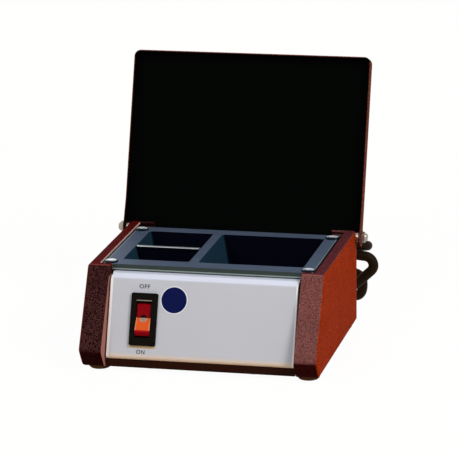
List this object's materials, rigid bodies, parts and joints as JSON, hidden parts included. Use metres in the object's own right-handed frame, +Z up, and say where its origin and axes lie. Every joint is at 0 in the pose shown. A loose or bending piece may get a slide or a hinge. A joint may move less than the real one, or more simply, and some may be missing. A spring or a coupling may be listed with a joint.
{
  "type": "dental lab wax heater",
  "caption": "Bench-top heater with a sloping switch panel, open tapered wells in a metal deck, a loose divider plate and a hinged lid, with its mains lead folded and coiled behind.",
  "frame": {"origin": "on the bench plane under the feet, midway between the cheeks and midway in depth between the body's front bend and the back of the opened lid", "axes": "+X to the right seen from the front, +Y to the back, +Z up"},
  "size_m": [0.1733, 0.2656, 0.159],
  "materials": {
    "brown_paint": "fine wrinkle paint, satin",
    "grey_paint": "smooth light grey paint, satin",
    "black_paint": "black inside and brown wrinkle paint outside, satin",
    "cast_aluminium": "satin",
    "sheet_steel": "satin",
    "nickel": "bright",
    "brass": "satin",
    "foot_rubber": "matte",
    "cord_rubber": "matte",
    "black_plastic": "matte",
    "red_plastic": "gloss",
    "lens_plastic": "gloss",
    "insulated_wire": "matte",
    "mica": "matte",
    "mineral_wool": "matte",
    "porcelain": "satin"
  },
  "bodies": {
    "body": {"right_cheek": "brown_paint", "left_cheek": "brown_paint", "rubber_feet": "foot_rubber", "foot_screws": "nickel", "front_panel": "grey_paint", "base_plate": "sheet_steel", "rear_panel": "sheet_steel", "well_tray": "cast_aluminium", "tray_screws": "nickel", "pivot_studs": "nickel", "pivot_cap_nuts": "nickel", "switch_housing": "black_plastic", "switch_blades": "brass", "heating_element": "mica", "clamp_plate": "sheet_steel", "insulation_blanket": "mineral_wool", "heat_shield": "sheet_steel", "pack_studs": "nickel", "pack_nuts": "nickel", "thermostat": "porcelain", "thermostat_tabs": "brass", "thermostat_screws": "nickel", "terminal_block": "porcelain", "terminal_clamps": "brass", "earth_stud": "nickel", "earth_nut": "nickel", "earth_tag": "brass", "push_on_sleeves": "brass", "inner_leads": "insulated_wire", "supply_cores": "insulated_wire", "base_screws": "nickel", "rear_screws": "nickel", "shield_screws": "nickel", "cord_boot": "cord_rubber", "power_lead": "cord_rubber", "lead_coil": "cord_rubber", "tail_lead": "cord_rubber", "cord_tie": "black_plastic", "plug_body": "cord_rubber", "plug_pins": "nickel", "plug_earth_clips": "nickel"},
    "lid": {"lid": "black_paint"},
    "rocker": {"switch_rocker": "red_plastic", "rocker_lens": "lens_plastic"},
    "divider": {"divider_plate": "cast_aluminium"}
  },
  "joints": [
    {"name": "lid_hinge", "type": "hinge", "parent": "body", "child": "lid", "pos_m": [0, 0.04223, 0.0557], "axis": [1, 0, 0], "range_deg": [0, 108.95]},
    {"name": "rocker_hinge", "type": "hinge", "parent": "body", "child": "rocker", "pos_m": [-0.0344, -0.06457, 0.02972], "axis": [1, 0, 0], "range_deg": [0, 19]},
    {"name": "divider_slide", "type": "slide", "parent": "body", "child": "divider", "axis": [0, 0, 1], "range_m": [0, 0.036]}
  ]
}
